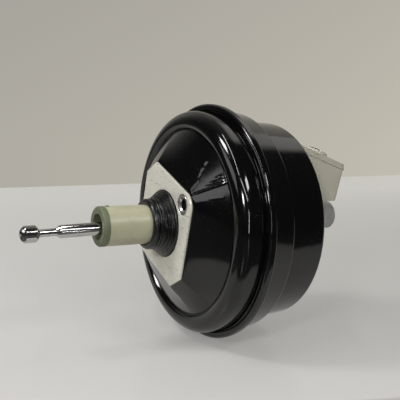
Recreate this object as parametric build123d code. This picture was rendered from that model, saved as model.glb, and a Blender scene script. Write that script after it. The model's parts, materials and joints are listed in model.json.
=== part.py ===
from build123d import *
import math
import os

os.makedirs("parts", exist_ok=True)

# A tandem vacuum brake booster with its master cylinder and fluid reservoir.
# Frame: origin in the middle of the bulkhead plate's outer face, +X along the axis
# towards the master cylinder, +Z up at the reservoir.  "x" is always a station along
# that axis and "r" a radius about it.

# ---------------------------------------------------------------- driving sizes, mm
# Fits, used everywhere one piece enters another
run_gap = 0.06          # radial gap of a piece that slides or turns
seat_gap = 0.05         # gap of a piece that is fitted and stays put
rest_gap = 0.3          # gap between pieces that meet at the end of a stroke
wiper_gap = 0.3         # rubber wiper around the sliding neck

# Bulkhead plate and its threaded bushes
plate_thick = 2.5
plate_lean = 28.0       # degrees, long diagonal above the horizontal on the -Y side
plate_reach = 53.0      # centre of each rounded corner from the axis
plate_corner_r = 18.0
plate_flat_half = 13.5
plate_flat_reach = 71.5
boot_gap = 1.1          # radial gap around the boot's foot in the plate
bolt_circle_r = 53.0
bolt_lean = 31.3        # degrees, line of the two bushes
bush_head_r = 12.0
bush_recess = 0.6
bush_mouth_r = 8.4
bush_thread_r = 5.0
bush_barrel_r = 9.0
bush_length = 17.5
bush_floor = 3.0

# Rear shell
rear_sheet = 2.0
land_margin = 1.6       # black land showing around the plate
cone_end_x = 27.2
cone_end_r = 107.6
cone_tip_spread = 20.0  # degrees, half of the fan that each rounded corner opens into
cone_flat_spread = 12.0
dome_nose_x = 25.0
dome_r = 14.0
rear_wall_r = 130.8
flange_x = 55.0
rim_width = 6.6         # how far the clamped rim stands out from the wall
hub_bore_r = 33.0
hub_wall = 2.0
hub_end_x = 16.0

# Crimped rim
bead_thick = 2.0
divider_sheet = 1.2
rim_gap = 0.3
lip_cover = 4.8         # how far the crimped lip reaches in over the flange
roll_room = 14.8        # ring left for each diaphragm's roll, outside its plate

# Front shell
front_sheet = 1.8
hem_bend_r = 3.2
shoulder_drop = 2.8     # hem down to the start of the long taper
rim_taper = 4.6
step_x = 92.0
step_length = 5.0
step_drop = 8.6
drum_taper = 2.8
face_x = 144.5
face_bend_r = 5.5
face_width = 33.6       # flat ring between the drum's edge and the raised panel
panel_slope = 8.0
panel_rise = 5.5

# Power piston
neck_r = 22.4
neck_bore_r = 18.4
neck_rear_x = -73.7
piston_hub_r = 27.0
nose_r = 24.0
nose_x = 84.0
stroke = 30.0
membrane = 1.6
piston_sheet = 1.5
rear_disc_x = 33.4
rear_dish_x = 26.0
rear_dish_r = 70.0
dish_slope = 8.0
front_disc_x = 72.0
front_roll_extra = 4.5  # the front roll is wider than the rear one by this
shoulder_thick = 3.0
shoulder_width = 7.0
shoulder_fall = 1.5     # length of the cone behind the shoulder
divider_x = 66.0
divider_seal_length = 6.3
retainer_thick = 2.0
retainer_r = 28.0

# Valve, inside the power piston
pivot_x = 2.0
seat_x = -4.0
plunger_head_r = 9.6
plunger_head_end_x = 9.0
plunger_r = 6.9
plunger_end_x = 62.2
plunger_bore_r = plunger_r + run_gap
valve_travel = 1.6
key_thick = 2.5
key_width = 12.0
key_neck_r = 4.6
disc_pocket_r = 15.0
disc_pocket_x = 64.0
reaction_thick = 6.0
air_passage_r = 2.1
air_passage_circle_r = 19.2

# Push rod
socket_ball_r = 5.5
stem_r = 4.4
stem_end_x = -54.0
shank_r = 7.2
shank_end_x = -123.3
taper_end_x = -127.9
ball_neck_r = 4.3
pedal_ball_x = -156.3
pedal_ball_r = 10.9
pedal_ball_band_r = 9.3
rod_droop = 1.5         # degrees the rod hangs below the axis at rest
rod_swing = 3.0         # degrees either side of the axis

# Sleeve end
end_ring_length = 7.2
end_ring_bore_r = 14.4
end_ring_spigot = 4.5
filter_length = 13.0
filter_bore_r = 11.6

# Dust boot
boot_base_r = 38.1
boot_band_r = 30.0
boot_collar_r = 29.6
boot_end_x = -24.0
boot_wall = 2.2

# Master cylinder
cylinder_r = 17.9
cylinder_end_x = 245.2
cylinder_end_round = 1.5
cylinder_bore_r = 11.9
cylinder_bore_end_x = 238.0
spigot_r = 17.0
spigot_x = 132.0
mount_flange_thick = 12.0
stud_offset = 42.0
stud_r = 4.0
stud_length = 23.0
stud_head_r = 8.0
stud_head_thick = 3.0
nut_flats = 13.0
nut_height = 7.5
brace_thick = 3.0
feed_x = (176.0, 212.0)
feed_boss_r = 11.6
feed_boss_top = 21.0
feed_bore_r = 8.8
feed_bore_floor = 13.0
outlet_x = (183.0, 222.0)
outlet_boss_r = 9.5
outlet_reach = 25.0
outlet_thread_r = 5.5
outlet_depth = 12.0
drilling_r = 1.5

# Master cylinder pistons
piston_tail_x = 120.0
primary_front_x = 172.0
secondary_rear_x = 192.0
secondary_front_x = 218.0
piston_recess_r = 8.0
piston_recess_depth = 11.0
cup_width = 3.0
cup_depth = 2.3
circlip_x = 134.5
circlip_thick = 1.5
rod_tip_r = 6.5
rod_tip_x = 127.0

# Reservoir
tank_rear_x = 153.5
tank_floor_z = 24.0
tank_half_width = 38.5
tank_front_low_x = 227.8
tank_front_lean = 14.3  # degrees, front wall from the vertical
tank_rear_top_z = 99.0
tank_slope = 19.3       # degrees, fall of the lid towards the front
tank_wall = 2.5
tank_corner_r = 5.5
lid_height = 5.5
seam_width = 1.0
seam_thick = 1.5
outlet_pipe_r = 6.0
outlet_pipe_bore_r = 3.5
filler_x = 214.5
filler_y = 0.0
neck_pipe_r = 16.0
neck_pipe_wall = 2.2
neck_pipe_height = 4.5
cap_wall = 2.0
cap_knob_r = 8.5
cap_knob_height = 2.6
cap_lift_travel = 25.0
float_x = 203.0
float_inset = 13.5      # float's centre in from the tank's +Y side
float_r = 9.5
float_height = 10.0
float_travel = 20.0
float_post_r = 4.2
lug_x = 194.0
lug_pin_z = 21.0
lug_pin_r = 1.9

# Springs: mean radius and wire radius
main_coil_rear_r = 37.0
main_coil_front_r = 27.5
main_wire_r = 2.0
piston_coil_r = 6.6
piston_wire_r = 0.9
rod_coil_rear_r = 8.2
rod_coil_front_r = 9.6
rod_wire_r = 0.7
poppet_coil_r = 10.6
poppet_wire_r = 0.5
valve_coil_r = 5.2
valve_wire_r = 0.4

# Spreader plate behind the front panel
brace_end_r = 13.0
brace_middle = 24.0
brace_height = 90.0

# Vacuum check valve
valve_lean = 37.0       # degrees above the horizontal on the +Y side
valve_tube_r = 7.0
valve_cup_r = 11.0
valve_bore_r = 4.0
valve_chamber_r = 8.8
valve_disc_r = 8.0
valve_disc_thick = 2.0
valve_lift = 1.5
hose_spigot_r = 6.0
hose_spigot_length = 34.0
hose_collar_z = 8.0     # up the spigot from the valve's axis
hose_collar_height = 2.5
hose_relief = 0.5       # groove between the collar and the hose's seat

# ---------------------------------------------------------------- derived sizes
flange_r = rear_wall_r + rim_width
lip_inner_r = flange_r - lip_cover
shoulder_r = flange_r - shoulder_drop
step_r = shoulder_r - rim_taper
drum_r = step_r - step_drop
panel_outer_r = drum_r - drum_taper - face_width
panel_inner_r = panel_outer_r - panel_slope
rear_disc_r = rear_wall_r - roll_room
front_disc_r = rear_disc_r - front_roll_extra
valve_circle_r = (drum_r - drum_taper - face_bend_r + panel_outer_r + 1.8) / 2
valve_y = round(valve_circle_r * math.cos(math.radians(valve_lean)), 1)
valve_z = round(valve_circle_r * math.sin(math.radians(valve_lean)), 1)
plate_bore_r = boot_base_r + boot_gap
float_y = tank_half_width - float_inset
shell_x = plate_thick                               # outer face of the rear shell's land
cone_dip_x = cone_end_x
dome_centre_x = dome_nose_x + dome_r
dome_centre_r = rear_wall_r - dome_r
rear_bead_x = flange_x + rear_sheet
divider_rim_x = rear_bead_x + bead_thick
front_bead_x = divider_rim_x + divider_sheet
shoulder_x = front_bead_x + bead_thick              # inner face of the front shell's shoulder
hem_r = flange_r + rim_gap + front_sheet
boss_x = face_x + panel_rise                        # outer face of the raised front panel
brace_x = boss_x - front_sheet - brace_thick
flange_front_x = boss_x + mount_flange_thick
neck_guide_r = neck_r + run_gap
key_x = hub_end_x + rest_gap
groove_end_x = key_x + key_thick + 0.1
groove_x = groove_end_x - key_thick - valve_travel - 0.2
tank_slope_rad = math.radians(tank_slope)


# ---------------------------------------------------------------- helpers
def turned(*corners):
    """Solid of revolution about X.  Each corner is (x, r) or (x, r, fillet radius)."""
    points = [(c[0], c[1]) for c in corners]
    radii = [c[2] if len(c) > 2 else 0 for c in corners]
    if any(radii):
        outline = FilletPolyline(*points, radius=radii, close=True)
    else:
        outline = Polyline(*points, close=True)
    return revolve(make_face(outline), axis=Axis.X)


def pressed(thickness, *corners, side=Side.LEFT):
    """Sheet of even thickness turned about X, laid on one side of its open outline."""
    points = [(c[0], c[1]) for c in corners]
    radii = [c[2] if len(c) > 2 else 0 for c in corners[1:-1]]
    path = FilletPolyline(*points, radius=radii) if any(radii) else Polyline(*points)
    band = Wire(path.edges()).offset_2d(thickness, kind=Kind.INTERSECTION, side=side)
    return revolve(make_face(band.edges()), axis=Axis.X)


def tube(x0, x1, outer_r, inner_r=0.0, y=0.0, z=0.0):
    """Round tube, or a rod, parallel to X."""
    length = x1 - x0
    plane = Plane(origin=(x0, y, z), z_dir=(1, 0, 0))
    body = extrude(plane * Circle(outer_r), amount=length)
    if inner_r > 0:
        body -= extrude(plane * Circle(inner_r), amount=length)
    return body


def post(x, y, z0, z1, outer_r, inner_r=0.0):
    """Round tube, or a rod, parallel to Z."""
    plane = Plane(origin=(x, y, z0))
    body = extrude(plane * Circle(outer_r), amount=z1 - z0)
    if inner_r > 0:
        body -= extrude(plane * Circle(inner_r), amount=z1 - z0)
    return body


def cross_bar(x, z, y0, y1, radius):
    """Round rod parallel to Y."""
    plane = Plane(origin=(x, y0, z), z_dir=(0, 1, 0), x_dir=(1, 0, 0))
    return extrude(plane * Circle(radius), amount=y1 - y0)


def block(x0, x1, y0, y1, z0, z1):
    """Box between two corners."""
    middle = ((x0 + x1) / 2, (y0 + y1) / 2, (z0 + z1) / 2)
    return Pos(*middle) * Box(x1 - x0, y1 - y0, z1 - z0)


def coil(x0, x1, radius0, radius1, wire_r, turns, y=0.0, z=0.0):
    """Coil spring parallel to X whose wire stays between x0 and x1."""
    height = x1 - x0 - 2 * wire_r
    angle = math.degrees(math.atan2(radius1 - radius0, height))
    line = Helix(
        pitch=height / turns,
        height=height,
        radius=radius0,
        center=(x0 + wire_r, y, z),
        direction=(1, 0, 0),
        cone_angle=angle,
    )
    section = Plane(origin=line @ 0, z_dir=line % 0) * Circle(wire_r)
    return sweep(section, path=line, is_frenet=True)


def across(angle, distance):
    """Point at an angle above the horizontal of the -Y side, in the plane across the axis."""
    lean = math.radians(angle)
    return (-distance * math.cos(lean), distance * math.sin(lean))


def ring_points(lean, reach, corner_r, flat_half, flat_reach):
    """Ends and middles of the diamond's two round corners and two flats, as (y, z)."""
    span = math.hypot(reach - flat_half, flat_reach)
    tangent = math.atan2(flat_reach, flat_half - reach) - math.acos(corner_r / span)
    quarter = [
        (flat_half, flat_reach),
        (reach + corner_r * math.cos(tangent), corner_r * math.sin(tangent)),
        (reach + corner_r, 0.0),
        (reach + corner_r * math.cos(tangent), -corner_r * math.sin(tangent)),
        (flat_half, -flat_reach),
    ]
    half_turn = [(-a, -b) for a, b in quarter]
    c, s = math.cos(math.radians(lean)), math.sin(math.radians(lean))
    return [(-(a * c - b * s), a * s + b * c) for a, b in quarter + half_turn]


def diamond_edges(x, points):
    """Edges of the diamond at station x: side, corner arc, side, flat, twice."""
    place = [(x, y, z) for y, z in points]
    edges = []
    for start in (0, 5):
        p = place[start:start + 5]
        edges += [
            Line(p[0], p[1]).edge(),
            ThreePointArc(p[1], p[2], p[3]).edge(),
            Line(p[3], p[4]).edge(),
            Line(p[4], place[(start + 5) % 10]).edge(),
        ]
    return edges


def diamond(x, margin=0.0, lean=plate_lean):
    """Face of the bulkhead diamond, grown by a margin, at station x."""
    points = ring_points(
        lean,
        plate_reach,
        plate_corner_r + margin,
        plate_flat_half + margin * 0.4,
        plate_flat_reach + margin,
    )
    return Face(Wire(diamond_edges(x, points)))


def fan_circle(x, radius):
    """Circle cut into eight arcs that answer the diamond's eight edges."""
    spread, flat = cone_tip_spread, 90.0 - cone_flat_spread
    stops = [flat, spread, -spread, -flat, flat - 180, spread - 180, -spread - 180, -flat - 180]
    arcs = []
    for index, start in enumerate(stops):
        end = stops[(index + 1) % 8] - (360 if index == 7 else 0)
        pts = [across(plate_lean + a, radius) for a in (start, (start + end) / 2, end)]
        arcs.append(ThreePointArc(*[(x, y, z) for y, z in pts]).edge())
    return Face(Wire(arcs))


def bolt_centres():
    return [across(bolt_lean + turn, bolt_circle_r) for turn in (0, 180)]


# ---------------------------------------------------------------- housing
def rear_body(land_x, margin, end_x, end_r, dome, wall_r, back_x):
    """Filled form bounded by one skin of the rear shell."""
    cone = loft([diamond(land_x, margin), fan_circle(end_x, end_r)], ruled=True)
    rise = math.sqrt(dome ** 2 - (dome_centre_x - end_x) ** 2)
    nose = (dome_centre_x - dome, dome_centre_r)
    lean_in = math.radians(45)
    outer_arc = (
        dome_centre_x - dome * math.cos(lean_in),
        dome_centre_r + dome * math.sin(lean_in),
    )
    edges = [
        Line((end_x, 0), (end_x, dome_centre_r - rise)),
        ThreePointArc(
            (end_x, dome_centre_r - rise), nose, outer_arc
        ),
        ThreePointArc(
            outer_arc,
            (
                dome_centre_x - dome * math.cos(math.radians(67.5)),
                dome_centre_r + dome * math.sin(math.radians(67.5)),
            ),
            (dome_centre_x, wall_r),
        ),
        Line((dome_centre_x, wall_r), (back_x, wall_r)),
        Line((back_x, wall_r), (back_x, 0)),
        Line((back_x, 0), (end_x, 0)),
    ]
    drum = revolve(make_face([e.edge() for e in edges]), axis=Axis.X)
    return cone + drum


def rear_shell():
    back_x = flange_x + rear_sheet
    shell = rear_body(
        shell_x, land_margin, cone_dip_x, cone_end_r, dome_r, rear_wall_r, back_x
    )
    shell += tube(flange_x, back_x, flange_r)
    shell -= rear_body(
        shell_x + rear_sheet,
        land_margin - rear_sheet / 2,
        cone_dip_x + rear_sheet,
        cone_end_r - rear_sheet / 2,
        dome_r - rear_sheet,
        rear_wall_r - rear_sheet,
        back_x + 1,
    )
    shell += tube(shell_x + rear_sheet / 2, hub_end_x, hub_bore_r + hub_wall, hub_bore_r)
    shell -= tube(shell_x - 1, hub_end_x, hub_bore_r)
    for y, z in bolt_centres():
        shell -= tube(shell_x - 1, bush_length, bush_barrel_r + seat_gap, 0, y, z)
    return shell


def mounting_plate():
    plate = extrude(diamond(0.0), amount=plate_thick, dir=(1, 0, 0))
    plate -= tube(-1, plate_thick + 1, plate_bore_r)
    for y, z in bolt_centres():
        plate -= tube(-1, plate_thick + 1, bush_head_r + seat_gap, 0, y, z)
    return plate


def plate_bushes():
    pair = []
    end_x = bush_recess + bush_length
    for y, z in bolt_centres():
        bush = turned(
            (bush_recess, bush_mouth_r),
            (bush_recess, bush_head_r),
            (plate_thick, bush_head_r),
            (plate_thick, bush_barrel_r),
            (end_x, bush_barrel_r, 1.5),
            (end_x, 0),
            (end_x - bush_floor, 0),
            (end_x - bush_floor, bush_thread_r),
            (bush_recess + bush_mouth_r - bush_thread_r, bush_thread_r),
        )
        pair.append(Pos(0, y, z) * bush)
    return Compound(children=pair)


def dust_boot():
    lip_r = neck_r + wiper_gap
    return turned(
        (plate_thick, boot_base_r),
        (-2.3, boot_base_r, 0.8),
        (-3.0, boot_base_r - 2.0),
        (-5.2, boot_base_r - 2.2, 0.7),
        (-5.9, boot_base_r - 4.0),
        (-8.0, boot_base_r - 4.2, 0.7),
        (-9.0, boot_band_r + 1.0),
        (-15.8, boot_band_r, 0.8),
        (-16.8, boot_band_r - 2.0),
        (-18.2, boot_band_r - 2.0),
        (-19.2, boot_collar_r, 0.9),
        (boot_end_x, boot_collar_r - 0.8, 1.6),
        (boot_end_x, lip_r),
        (boot_end_x + 4.5, lip_r),
        (boot_end_x + 6.0, boot_band_r - 2.0 - boot_wall),
        (-9.8, boot_band_r - boot_wall),
        (-4.0, boot_base_r - 4.2 - boot_wall),
        (plate_thick, boot_base_r - boot_wall - 1.0),
    )


def guide_bush():
    return turned(
        (hub_end_x - 8.0, neck_guide_r),
        (hub_end_x - 8.0, hub_bore_r - seat_gap, 0.8),
        (hub_end_x - 1.0, hub_bore_r - seat_gap, 0.8),
        (hub_end_x - 1.0, neck_guide_r + 3.0),
        (hub_end_x - 3.0, neck_guide_r),
    )


def hub_seal():
    front_x = hub_end_x - 8.0
    rear_x = shell_x + 0.5
    return turned(
        (rear_x, neck_guide_r),
        (rear_x, neck_guide_r + 2.5),
        (rear_x + 1.8, neck_guide_r + 3.5),
        (rear_x + 1.8, hub_bore_r - seat_gap),
        (front_x, hub_bore_r - seat_gap),
        (front_x, neck_guide_r + 2.0),
        (front_x - 1.5, neck_guide_r + 1.2),
        (rear_x + 2.4, neck_guide_r + 1.2),
    )


def rear_diaphragm():
    rim = rear_bead_x + bead_thick
    wall = rear_wall_r - rear_sheet - membrane - 0.4
    skin = pressed(
        membrane,
        (rear_disc_x, rear_disc_r + 3.0),
        (rear_disc_x, rear_dish_r + dish_slope, dish_slope / 2),
        (rear_dish_x, rear_dish_r, dish_slope / 2),
        (rear_dish_x, piston_hub_r + seat_gap),
        side=Side.RIGHT,
    )
    roll = turned(
        (rear_disc_x - membrane, rear_disc_r + 3.0),
        (rear_disc_x - membrane, wall + membrane - 2.0, 5.0),
        (rear_disc_x + 4.0, wall + membrane, 4.0),
        (rear_bead_x, wall + membrane),
        (rear_bead_x, flange_r - 0.2),
        (rim, flange_r - 0.2),
        (rim, wall - 1.5, 1.2),
        (rim - 6.0, wall, 2.5),
        (rear_disc_x + 5.0, wall, 3.0),
        (rear_disc_x, wall - 3.0, 3.0),
        (rear_disc_x, rear_disc_r + 3.0),
    )
    return skin + roll


def rear_diaphragm_plate():
    return pressed(
        piston_sheet,
        (rear_disc_x, rear_disc_r),
        (rear_disc_x, rear_dish_r + dish_slope, dish_slope / 2),
        (rear_dish_x, rear_dish_r, dish_slope / 2),
        (rear_dish_x, piston_hub_r + seat_gap),
    )


def centre_plate():
    return pressed(
        divider_sheet,
        (divider_rim_x, flange_r - 0.1),
        (divider_rim_x, rear_wall_r - 4.3, 2.0),
        (divider_x, rear_wall_r - 6.3, 2.5),
        (divider_x, piston_hub_r + 5.0),
    )


def centre_seal():
    rear_x = divider_x - 2.3
    front_x = rear_x + divider_seal_length
    bore_r = piston_hub_r + run_gap
    return turned(
        (rear_x, bore_r),
        (rear_x, bore_r + 9.0, 1.0),
        (divider_x, bore_r + 9.0),
        (divider_x, piston_hub_r + 4.9),
        (divider_x + divider_sheet, piston_hub_r + 4.9),
        (divider_x + divider_sheet, bore_r + 9.0),
        (front_x - 1.2, bore_r + 8.0, 1.0),
        (front_x, bore_r),
    )


def front_diaphragm():
    wall = rear_wall_r - 2.2
    roll_x = front_disc_x + 12.0
    bead = tube(front_bead_x, front_bead_x + bead_thick, flange_r - 1.0, wall + membrane)
    skin = pressed(
        membrane,
        (front_bead_x, flange_r - 2.0),
        (front_bead_x, wall, 2.0),
        (roll_x, wall - 2.1, 4.0),
        (roll_x, front_disc_r + 6.0, 4.0),
        (front_disc_x - membrane, front_disc_r + 3.0, 2.0),
        (front_disc_x - membrane, nose_r + seat_gap),
    )
    return skin + bead


def front_diaphragm_plate():
    return pressed(
        piston_sheet,
        (front_disc_x, front_disc_r),
        (front_disc_x, nose_r + seat_gap),
    )


def front_shell():
    lip_x = flange_x - front_sheet - 0.1
    inner = shoulder_x
    outer = inner + front_sheet
    taper_end_r = drum_r - drum_taper
    skin = turned(
        (lip_x, lip_inner_r),
        (lip_x, hem_r, 1.8),
        (outer - 1.6, hem_r, hem_bend_r),
        (outer, shoulder_r, 1.5),
        (step_x, step_r, 4.0),
        (step_x + step_length, drum_r, 3.0),
        (face_x, taper_end_r, face_bend_r),
        (face_x, panel_outer_r, 5.8),
        (boss_x, panel_inner_r, 4.0),
        (boss_x, spigot_r + 0.7),
        (boss_x - front_sheet, spigot_r + 0.7),
        (boss_x - front_sheet, panel_inner_r - 1.0, 2.2),
        (face_x - front_sheet, panel_outer_r - 1.0, 4.0),
        (face_x - front_sheet, taper_end_r - front_sheet, face_bend_r - front_sheet),
        (step_x + step_length - 1.0, drum_r - front_sheet, 4.8),
        (step_x - 1.0, step_r - front_sheet - 0.2, 2.2),
        (inner, shoulder_r - front_sheet, 1.0),
        (inner, flange_r + rim_gap, 1.0),
        (lip_x + front_sheet, flange_r + rim_gap, 0.5),
        (lip_x + front_sheet, lip_inner_r),
    )
    for side in (-1, 1):
        skin -= tube(brace_x, boss_x + 1, stud_r + 0.3, 0, side * stud_offset, 0)
    skin -= tube(face_x - 5, face_x + 5, valve_tube_r + 2.0, 0, valve_y, valve_z)
    return skin


def front_brace():
    """Diamond that spreads the master cylinder's pull over the front panel."""
    outline = make_hull(
        [
            e
            for side in (-1, 1)
            for e in (Pos(side * stud_offset, 0) * Circle(brace_end_r)).edges()
        ]
        + list(Rectangle(brace_middle, brace_height).edges())
    )
    plane = Plane(origin=(brace_x, 0, 0), z_dir=(1, 0, 0), x_dir=(0, 1, 0))
    plate = extrude(plane * outline, amount=brace_thick)
    plate -= tube(brace_x - 1, boss_x, spigot_r + 0.7)
    for side in (-1, 1):
        plate -= tube(brace_x - 1, boss_x, stud_r + 0.1, 0, side * stud_offset, 0)
    return plate


def cylinder_studs():
    pair = []
    for side in (-1, 1):
        stud = turned(
            (brace_x - stud_head_thick, 0),
            (brace_x - stud_head_thick, stud_head_r, 1.0),
            (brace_x, stud_head_r),
            (brace_x, stud_r),
            (brace_x + stud_length + brace_thick, stud_r, 0.8),
            (brace_x + stud_length + brace_thick, 0),
        )
        pair.append(Pos(0, side * stud_offset, 0) * stud)
    return Compound(children=pair)


def cylinder_nuts():
    pair = []
    for side in (-1, 1):
        plane = Plane(origin=(flange_front_x, side * stud_offset, 0), z_dir=(1, 0, 0))
        hexagon = RegularPolygon(nut_flats / 2, 6, major_radius=False)
        nut = extrude(plane * hexagon, amount=nut_height)
        nut += extrude(plane * Circle(nut_flats * 0.62), amount=1.5)
        nut -= extrude(plane * Circle(stud_r + seat_gap), amount=nut_height)
        pair.append(nut)
    return Compound(children=pair)


def main_return_spring():
    front_plate_face = front_disc_x + piston_sheet
    return coil(front_plate_face + 0.1, brace_x - 0.1, main_coil_rear_r, main_coil_front_r,
                main_wire_r, 5.0)


# ---------------------------------------------------------------- power piston
def valve_body():
    hub_x = key_x + key_thick + 3.0
    bore = neck_bore_r
    body = turned(
        (neck_rear_x, bore),
        (neck_rear_x, neck_r, 0.5),
        (hub_end_x, neck_r),
        (hub_x, piston_hub_r, 1.0),
        (rear_dish_x + piston_sheet, piston_hub_r),
        (rear_dish_x + piston_sheet, piston_hub_r + shoulder_width, 1.0),
        (rear_dish_x + piston_sheet + shoulder_thick, piston_hub_r + shoulder_width, 1.0),
        (rear_dish_x + piston_sheet + shoulder_thick + shoulder_fall, piston_hub_r, 0.6),
        (front_disc_x - membrane, piston_hub_r),
        (front_disc_x - membrane, nose_r),
        (front_disc_x + piston_sheet, nose_r),
        (front_disc_x + piston_sheet, nose_r - 1.5),
        (front_disc_x + piston_sheet + retainer_thick, nose_r - 1.5),
        (front_disc_x + piston_sheet + retainer_thick, nose_r),
        (nose_x, nose_r, 1.0),
        (nose_x, disc_pocket_r),
        (disc_pocket_x, disc_pocket_r),
        (disc_pocket_x, plunger_bore_r),
        (plunger_head_end_x + 2.0, plunger_bore_r),
        (plunger_head_end_x + 2.0, plunger_head_r + 0.8),
        (seat_x, plunger_head_r + 0.8),
        (seat_x - 0.6, plunger_head_r + 2.4),
        (seat_x - 0.6, plunger_head_r + 3.6),
        (seat_x, plunger_head_r + 4.2),
        (seat_x, bore),
    )
    for turn in range(4):
        angle = math.radians(45 + 90 * turn)
        y = air_passage_circle_r * math.cos(angle)
        z = air_passage_circle_r * math.sin(angle)
        body -= tube(seat_x - 1, nose_x + 1, air_passage_r, 0, y, z)
    slot_half = key_width / 2 + 0.2
    body -= block(key_x - 0.1, groove_end_x + 0.1, -40, 40, -slot_half, slot_half)
    return body


def stop_key():
    """Flat fork that straddles the plunger's neck and limits both travels."""
    half = key_width / 2
    reach = hub_bore_r + hub_wall - 0.3
    key = block(key_x, key_x + key_thick, -reach, reach, -half, half)
    mouth = key_neck_r + 0.25
    key -= tube(key_x - 1, key_x + key_thick + 1, mouth)
    key -= block(key_x - 1, key_x + key_thick + 1, 0, reach + 1, -mouth, mouth)
    return key


def plate_retainer():
    x0 = front_disc_x + piston_sheet
    ring = tube(x0, x0 + retainer_thick, retainer_r, nose_r - 1.5 + seat_gap)
    ring -= block(x0 - 1, x0 + retainer_thick + 1, -3, 3, 0, retainer_r + 1)
    return ring


def sleeve_end_ring():
    rear_x = neck_rear_x - end_ring_length
    spigot_r_outer = neck_bore_r - seat_gap
    return turned(
        (rear_x, end_ring_bore_r, 0.8),
        (rear_x, neck_r + 0.2, 2.6),
        (neck_rear_x, neck_r + 0.2),
        (neck_rear_x, spigot_r_outer),
        (neck_rear_x + end_ring_spigot, spigot_r_outer),
        (neck_rear_x + end_ring_spigot, end_ring_bore_r),
    )


def air_filter():
    x0 = neck_rear_x + end_ring_spigot + 0.1
    return tube(x0, x0 + filter_length, neck_bore_r - seat_gap, filter_bore_r)


def poppet_valve():
    """Rubber face seal on a short bellows, held by a bead at its rear."""
    face_x0 = seat_x - 0.6 - 0.1
    outer = neck_bore_r - 2.2
    return turned(
        (face_x0, 8.6),
        (face_x0, outer, 1.0),
        (face_x0 - 2.6, outer),
        (face_x0 - 2.6, 13.2),
        (face_x0 - 9.0, 13.2, 1.0),
        (face_x0 - 13.0, neck_bore_r - seat_gap, 1.0),
        (face_x0 - 20.0, neck_bore_r - seat_gap),
        (face_x0 - 20.0, neck_bore_r - 2.2),
        (face_x0 - 14.0, neck_bore_r - 2.2, 1.0),
        (face_x0 - 10.0, 11.6, 1.0),
        (face_x0 - 2.6, 11.6),
        (face_x0 - 2.6, 8.6),
    )


def poppet_retainer():
    x1 = seat_x - 0.7 - 20.0 - 0.05
    return turned(
        (x1, neck_bore_r - seat_gap),
        (x1 - 2.0, neck_bore_r - seat_gap),
        (x1 - 2.0, 8.8),
        (x1 + 6.0, 8.8),
        (x1 + 6.0, 10.0),
        (x1, 10.0, 0.5),
    )


def poppet_spring():
    x0 = seat_x - 0.7 - 20.0 + 0.1
    return coil(x0, seat_x - 0.7 - 2.7, poppet_coil_r, poppet_coil_r, poppet_wire_r, 3.0)


def reaction_disc():
    x0 = disc_pocket_x + seat_gap
    return tube(x0, x0 + reaction_thick, disc_pocket_r - 0.2)


def output_rod():
    x0 = disc_pocket_x + 2 * seat_gap + reaction_thick
    return turned(
        (x0, 0),
        (x0, disc_pocket_r - 0.3, 0.6),
        (x0 + 5.0, disc_pocket_r - 0.3, 1.0),
        (x0 + 5.0, rod_tip_r, 2.0),
        (rod_tip_x, rod_tip_r, 4.0),
        (rod_tip_x, 0),
    )


def rod_return_spring():
    x1 = seat_x - 0.7 - 20.0 - 0.05 - 2.0
    return coil(stem_end_x + 2.2, x1 - 0.1, rod_coil_rear_r, rod_coil_front_r, rod_wire_r, 4.0)


# ---------------------------------------------------------------- input side
def valve_plunger():
    plunger = turned(
        (seat_x - 0.6, plunger_head_r - 1.8),
        (seat_x - 0.6, plunger_head_r, 0.4),
        (plunger_head_end_x, plunger_head_r, 0.6),
        (plunger_head_end_x, plunger_r),
        (groove_x, plunger_r),
        (groove_x, key_neck_r),
        (groove_end_x, key_neck_r),
        (groove_end_x, plunger_r),
        (plunger_end_x, plunger_r, 0.6),
        (plunger_end_x, 0),
        (pivot_x + socket_ball_r, 0),
        (pivot_x, stem_r),
    )
    plunger -= Pos(pivot_x, 0, 0) * Sphere(socket_ball_r + run_gap)
    plunger -= turned(
        (pivot_x, 0),
        (seat_x - 1.0, plunger_head_r - 1.8),
        (seat_x - 1.0, 0),
    )
    return plunger


def arc(centre_x, radius, x0, x1):
    """Arc of a ball's outline from station x0 to x1, seen from the side."""
    def at(x):
        return (x, math.sqrt(max(round(radius ** 2 - (x - centre_x) ** 2, 9), 0.0)))

    return ThreePointArc(at(x0), at((x0 + x1) / 2), at(x1)).edge()


def push_rod():
    """Ball-ended rod, drawn along the axis and then let droop about its inner ball."""
    neck = stem_r - 0.8
    inner_x = pivot_x - math.sqrt(socket_ball_r ** 2 - neck ** 2)
    outer_x = pedal_ball_x + math.sqrt(pedal_ball_r ** 2 - ball_neck_r ** 2)
    band_half = math.sqrt(pedal_ball_r ** 2 - pedal_ball_band_r ** 2)
    tip_x = pedal_ball_x - pedal_ball_r
    shaft = [
        (inner_x, neck),
        (pivot_x - 9.0, neck),
        (pivot_x - 12.0, stem_r),
        (stem_end_x + 2.0, stem_r),
        (stem_end_x + 2.0, stem_r + 5.6),
        (stem_end_x, stem_r + 5.6),
        (stem_end_x, shank_r),
        (shank_end_x, shank_r),
        (taper_end_x, ball_neck_r),
        (outer_x, ball_neck_r),
    ]
    band = [(pedal_ball_x + band_half, pedal_ball_band_r),
            (pedal_ball_x - band_half, pedal_ball_band_r)]
    edges = [arc(pivot_x, socket_ball_r, pivot_x + socket_ball_r, inner_x)]
    edges += Polyline(*shaft).edges()
    edges += [
        arc(pedal_ball_x, pedal_ball_r, outer_x, band[0][0]),
        Line(*band).edge(),
        arc(pedal_ball_x, pedal_ball_r, band[1][0], tip_x),
        Line((tip_x, 0), (pivot_x + socket_ball_r, 0)).edge(),
    ]
    rod = revolve(make_face(edges), axis=Axis.X)
    swing = Pos(pivot_x, 0, 0) * Rot(0, -rod_droop, 0) * Pos(-pivot_x, 0, 0)
    return swing * rod


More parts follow.
